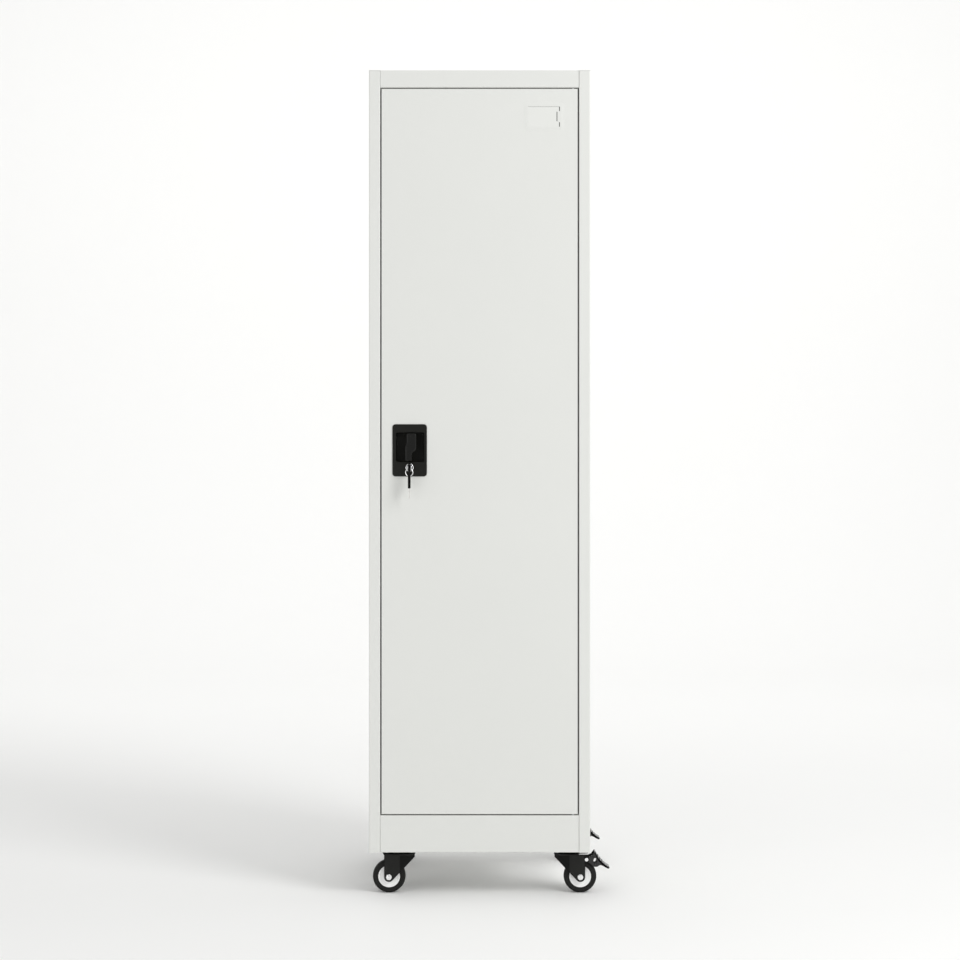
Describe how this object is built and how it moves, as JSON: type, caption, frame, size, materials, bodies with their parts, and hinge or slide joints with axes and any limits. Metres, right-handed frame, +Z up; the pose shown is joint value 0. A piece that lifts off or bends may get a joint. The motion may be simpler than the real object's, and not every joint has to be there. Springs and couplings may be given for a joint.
{
  "type": "locker cabinet",
  "caption": "Tall steel locker cabinet with one hinged door, a turn-grip latch with key lock, a label holder, and swivel casters with brake pedals.",
  "frame": {"origin": "bottom centre of the whole cabinet, on the floor under the casters, pedals and keys counted in; the body's own middle is 23 mm to its left and 17 mm behind it", "axes": "+Z up, -Y out of the door, +X to the right of someone facing the door"},
  "size_m": [0.547, 0.484, 1.87],
  "materials": {
    "body_paint": "satin powder coat, grey-white",
    "inner_paint": "satin powder coat, grey-white",
    "zinc": "bright zinc plate",
    "nickel": "nickel-plated key stock",
    "chrome": "polished",
    "housing_plastic": "satin black, fine grain",
    "key_plastic": "satin black",
    "nylon": "black nylon",
    "card": "blank white card",
    "caster_steel": "black e-coat, satin",
    "pedal_steel": "black e-coat, satin",
    "hub_plastic": "white polypropylene",
    "tyre_rubber": "black rubber"
  },
  "bodies": {
    "cabinet": {"side_panel_left": "body_paint", "side_panel_right": "body_paint", "back_panel": "body_paint", "top_panel": "body_paint", "base_panel": "body_paint", "caster_channel_front": "body_paint", "caster_channel_rear": "body_paint", "shelf": "inner_paint", "shelf_clip_left_front": "zinc", "shelf_clip_left_rear": "zinc", "shelf_clip_right_front": "zinc", "shelf_clip_right_rear": "zinc", "coat_rail": "chrome", "rail_bracket_left": "zinc", "rail_bracket_right": "zinc", "hinge_pin_upper": "zinc", "hinge_pin_lower": "zinc", "caster_front_left_plate": "caster_steel", "caster_front_right_plate": "caster_steel", "caster_rear_left_plate": "caster_steel", "caster_rear_right_plate": "caster_steel"},
    "door": {"door_skin": "body_paint", "door_stiffener": "inner_paint", "hinge_bush_upper": "nylon", "hinge_bush_lower": "nylon", "handle_housing": "housing_plastic", "rod_guide_upper": "nylon", "rod_guide_lower": "nylon", "card_holder": "body_paint", "name_card": "card", "lock_barrel": "chrome"},
    "grip": {"turn_grip": "housing_plastic", "cam_plate": "zinc"},
    "upper_rod": {"upper_rod": "zinc"},
    "lower_rod": {"lower_rod": "zinc"},
    "lock": {"lock_plug": "chrome", "lock_tab": "zinc"},
    "key": {"key_head": "key_plastic", "key_blade": "nickel"},
    "key_ring": {"key_ring": "zinc"},
    "spare_key": {"spare_key_head": "key_plastic", "spare_key_blade": "nickel"},
    "front_left_fork": {"caster_front_left_fork": "caster_steel", "caster_front_left_axle": "zinc"},
    "front_left_wheel": {"caster_front_left_hub": "hub_plastic", "caster_front_left_tyre": "tyre_rubber"},
    "front_right_fork": {"caster_front_right_fork": "caster_steel", "caster_front_right_axle": "zinc"},
    "front_right_wheel": {"caster_front_right_hub": "hub_plastic", "caster_front_right_tyre": "tyre_rubber"},
    "front_right_pedal": {"caster_front_right_brake_pedal": "pedal_steel"},
    "rear_left_fork": {"caster_rear_left_fork": "caster_steel", "caster_rear_left_axle": "zinc"},
    "rear_left_wheel": {"caster_rear_left_hub": "hub_plastic", "caster_rear_left_tyre": "tyre_rubber"},
    "rear_right_fork": {"caster_rear_right_fork": "caster_steel", "caster_rear_right_axle": "zinc"},
    "rear_right_wheel": {"caster_rear_right_hub": "hub_plastic", "caster_rear_right_tyre": "tyre_rubber"},
    "rear_right_pedal": {"caster_rear_right_brake_pedal": "pedal_steel"}
  },
  "joints": [
    {"name": "door_hinge", "type": "hinge", "parent": "cabinet", "child": "door", "pos_m": [0.1885, -0.2003, 1], "axis": [0, 0, 1], "range_deg": [0, 110]},
    {"name": "grip_turn", "type": "hinge", "parent": "door", "child": "grip", "pos_m": [-0.179, -0.203, 1.0175], "axis": [0, 1, 0], "range_deg": [0, 90]},
    {"name": "upper_rod_slide", "type": "slide", "parent": "door", "child": "upper_rod", "axis": [0, 0, 1], "range_m": [0, 0.017]},
    {"name": "lower_rod_slide", "type": "slide", "parent": "door", "child": "lower_rod", "axis": [0, 0, -1], "range_m": [0, 0.017]},
    {"name": "key_turn", "type": "hinge", "parent": "door", "child": "lock", "pos_m": [-0.181, -0.203, 0.972], "axis": [0, 1, 0], "range_deg": [0, 90]},
    {"name": "key_pull", "type": "slide", "parent": "lock", "child": "key", "axis": [0, -1, 0], "range_m": [0, 0.025]},
    {"name": "ring_swing", "type": "hinge", "parent": "key", "child": "key_ring", "pos_m": [-0.181, -0.232, 0.9692], "axis": [1, 0, 0], "range_deg": [-40, 6]},
    {"name": "spare_key_swing", "type": "hinge", "parent": "key_ring", "child": "spare_key", "pos_m": [-0.181, -0.232, 0.9528], "axis": [1, 0, 0], "range_deg": [-25, 8]},
    {"name": "front_left_swivel", "type": "hinge", "parent": "cabinet", "child": "front_left_fork", "pos_m": [-0.206, -0.148, 0.09], "axis": [0, 0, 1], "continuous": true},
    {"name": "front_left_roll", "type": "hinge", "parent": "front_left_fork", "child": "front_left_wheel", "pos_m": [-0.23, -0.148, 0.0375], "axis": [0, 1, 0], "continuous": true},
    {"name": "front_right_swivel", "type": "hinge", "parent": "cabinet", "child": "front_right_fork", "pos_m": [0.183, -0.148, 0.09], "axis": [0, 0, 1], "continuous": true},
    {"name": "front_right_roll", "type": "hinge", "parent": "front_right_fork", "child": "front_right_wheel", "pos_m": [0.207, -0.148, 0.0375], "axis": [0, 1, 0], "continuous": true},
    {"name": "front_right_brake", "type": "hinge", "parent": "front_right_fork", "child": "front_right_pedal", "pos_m": [0.221, -0.148, 0.0775], "axis": [0, 1, 0], "range_deg": [0, 12]},
    {"name": "rear_left_swivel", "type": "hinge", "parent": "cabinet", "child": "rear_left_fork", "pos_m": [-0.206, 0.182, 0.09], "axis": [0, 0, 1], "continuous": true},
    {"name": "rear_left_roll", "type": "hinge", "parent": "rear_left_fork", "child": "rear_left_wheel", "pos_m": [-0.23, 0.182, 0.0375], "axis": [0, 1, 0], "continuous": true},
    {"name": "rear_right_swivel", "type": "hinge", "parent": "cabinet", "child": "rear_right_fork", "pos_m": [0.183, 0.182, 0.09], "axis": [0, 0, 1], "continuous": true},
    {"name": "rear_right_roll", "type": "hinge", "parent": "rear_right_fork", "child": "rear_right_wheel", "pos_m": [0.207, 0.182, 0.0375], "axis": [0, 1, 0], "continuous": true},
    {"name": "rear_right_brake", "type": "hinge", "parent": "rear_right_fork", "child": "rear_right_pedal", "pos_m": [0.221, 0.182, 0.0775], "axis": [0, 1, 0], "range_deg": [0, 12]}
  ],
  "couplings": [
    {"joint": "lower_rod_slide", "follows": "upper_rod_slide", "ratio": 1},
    {"joint": "grip_turn", "follows": "upper_rod_slide", "rad_per_m": 92.39}
  ]
}
